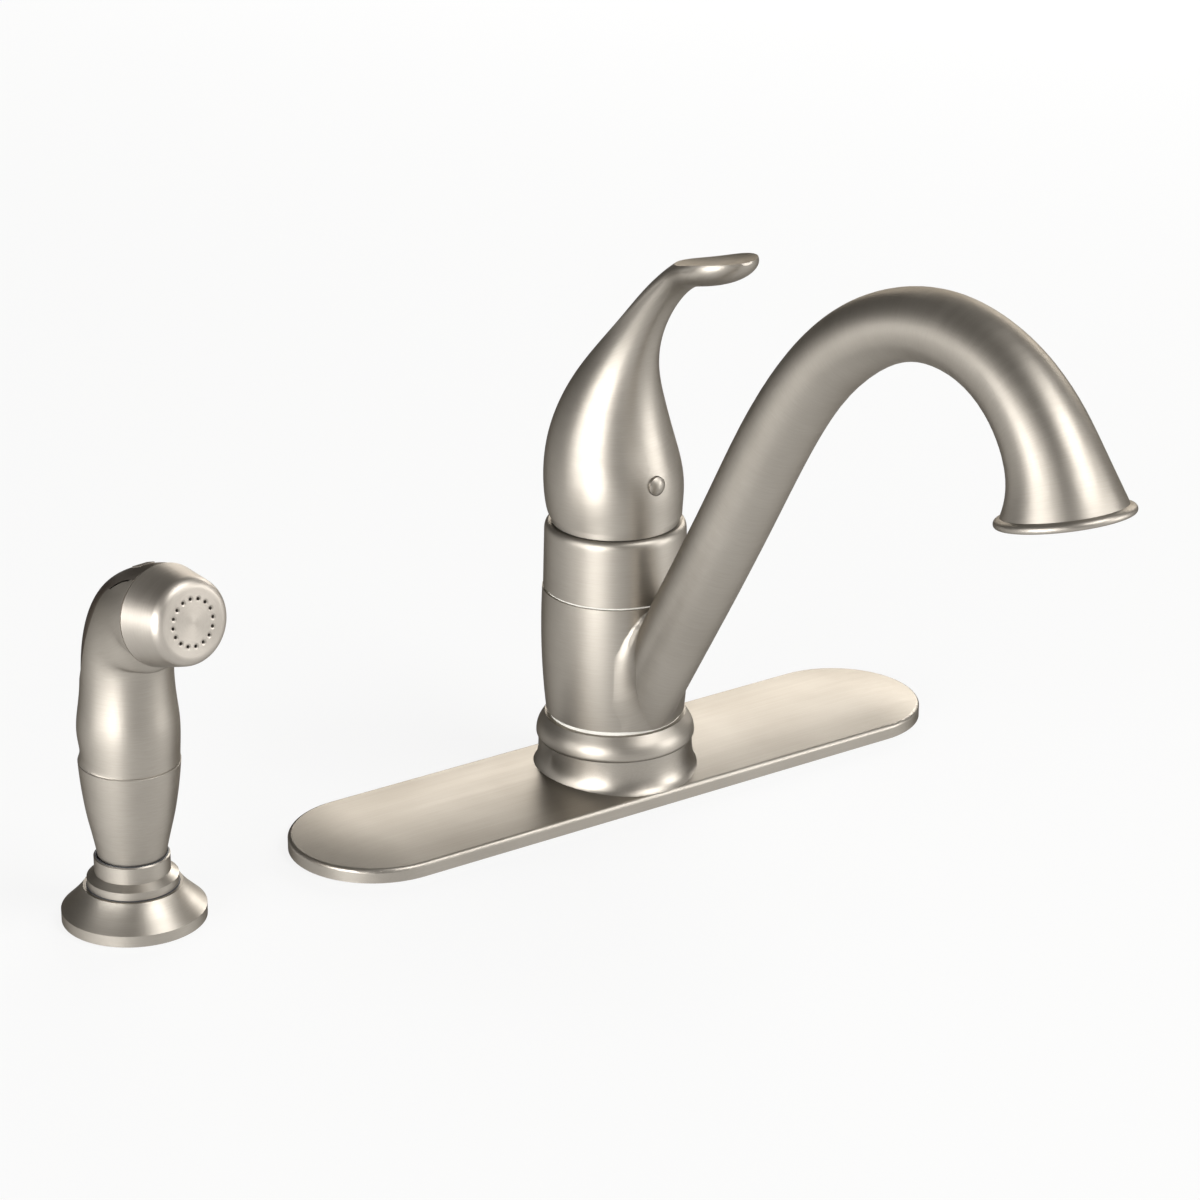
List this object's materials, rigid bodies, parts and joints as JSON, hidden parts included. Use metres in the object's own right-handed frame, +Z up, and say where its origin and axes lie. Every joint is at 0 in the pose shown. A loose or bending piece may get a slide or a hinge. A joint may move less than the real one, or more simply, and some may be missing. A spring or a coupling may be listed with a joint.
{
  "type": "side spray kitchen faucet",
  "caption": "Single lever kitchen faucet with a swinging arched spout on an oval deck plate, and a separate side spray with a trigger in its own holder.",
  "frame": {"origin": "where the axis of the faucet's shank meets the top of the sink deck", "axes": "+X to the right along the deck plate, the spout points to -Y towards the sink's user, +Z up"},
  "size_m": [0.3649, 0.2965, 0.3317],
  "materials": {
    "satin_nickel": "satin brushed nickel",
    "bright_nickel": "polished nickel",
    "brass": "machined",
    "cast_zinc": "as cast",
    "steel": "plain stainless",
    "black_rubber": "matte",
    "white_nylon": "moulded",
    "grey_plastic": "moulded"
  },
  "bodies": {
    "deck": {"base_ring": "satin_nickel", "cartridge_clip": "steel", "cartridge_nut": "brass", "cartridge_seal_lower": "black_rubber", "cartridge_seal_upper": "black_rubber", "cartridge_shell": "white_nylon", "cold_inlet_stub": "brass", "deck_plate": "satin_nickel", "diverter_seat": "brass", "diverter_spring": "steel", "holder_gasket": "black_rubber", "holder_nut": "grey_plastic", "hot_inlet_stub": "brass", "lower_glide_ring": "white_nylon", "lower_hub_seal": "black_rubber", "mounting_gasket": "black_rubber", "mounting_nut": "brass", "mounting_washer": "steel", "plate_nut_left": "grey_plastic", "plate_nut_right": "grey_plastic", "plate_stud_left": "steel", "plate_stud_right": "steel", "spray_flange": "satin_nickel", "spray_outlet_stub": "brass", "spray_sleeve": "satin_nickel", "under_plate": "grey_plastic", "upper_collar": "satin_nickel", "upper_glide_ring": "white_nylon", "upper_hub_seal": "black_rubber", "valve_body": "brass"},
    "spout": {"spout": "satin_nickel", "spout_lip": "satin_nickel", "aerator_shell": "white_nylon", "aerator_gasket": "black_rubber", "aerator_screen": "steel"},
    "turn": {"pivot_ring": "satin_nickel", "hinge_pin": "steel"},
    "lever": {"handle_lever": "satin_nickel", "handle_adapter": "cast_zinc", "handle_set_screw": "steel", "plug_button": "bright_nickel"},
    "stem": {"cartridge_stem": "brass"},
    "diverter": {"diverter_poppet": "white_nylon"},
    "wand": {"wand_grip": "satin_nickel", "wand_joint_seal": "black_rubber", "hose_connector": "brass", "wand_body": "satin_nickel", "nozzle_cap": "satin_nickel", "nozzle_disc": "white_nylon", "nozzle_gasket": "black_rubber", "trigger_pin": "steel", "valve_seat": "white_nylon"},
    "trigger": {"trigger_lever": "satin_nickel"},
    "plunger": {"spray_plunger": "white_nylon", "plunger_spring": "steel"}
  },
  "joints": [
    {"name": "spout_swivel", "type": "hinge", "parent": "deck", "child": "spout", "pos_m": [0, 0, 0.05], "axis": [0, 0, 1], "range_deg": [-110, 110]},
    {"name": "handle_turn", "type": "hinge", "parent": "deck", "child": "turn", "pos_m": [0, 0, 0.1], "axis": [0, 0, 1], "range_deg": [-45, 45]},
    {"name": "handle_lift", "type": "hinge", "parent": "turn", "child": "lever", "pos_m": [-0.001, 0.01797, 0.108], "axis": [-0.9984, -0.0558, 0], "range_deg": [0, 20]},
    {"name": "stem_lift", "type": "slide", "parent": "turn", "child": "stem", "axis": [0, 0, 1], "range_m": [0, 0.0064]},
    {"name": "diverter_lift", "type": "slide", "parent": "deck", "child": "diverter", "axis": [0, 0, 1], "range_m": [0, 0.004], "stiffness_N_per_m": 60, "springref_m": -0.002, "deforming": ["diverter_spring"]},
    {"name": "spray_lift", "type": "slide", "parent": "deck", "child": "wand", "axis": [0.0036, -0.0303, 0.9995], "range_m": [0, 0.025]},
    {"name": "spray_trigger", "type": "hinge", "parent": "wand", "child": "trigger", "pos_m": [-0.20116, -0.01711, 0.12755], "axis": [-0.993, -0.1184, 0], "range_deg": [0, 2.7], "stiffness_Nm_per_rad": 2, "springref_deg": -2.86},
    {"name": "spray_valve", "type": "slide", "parent": "wand", "child": "plunger", "axis": [0.1183, -0.9925, -0.0305], "range_m": [0, 0.0013]}
  ],
  "couplings": [
    {"joint": "stem_lift", "follows": "handle_lift", "m_per_rad": 0.018},
    {"joint": "spray_valve", "follows": "spray_trigger", "m_per_rad": 0.027}
  ]
}
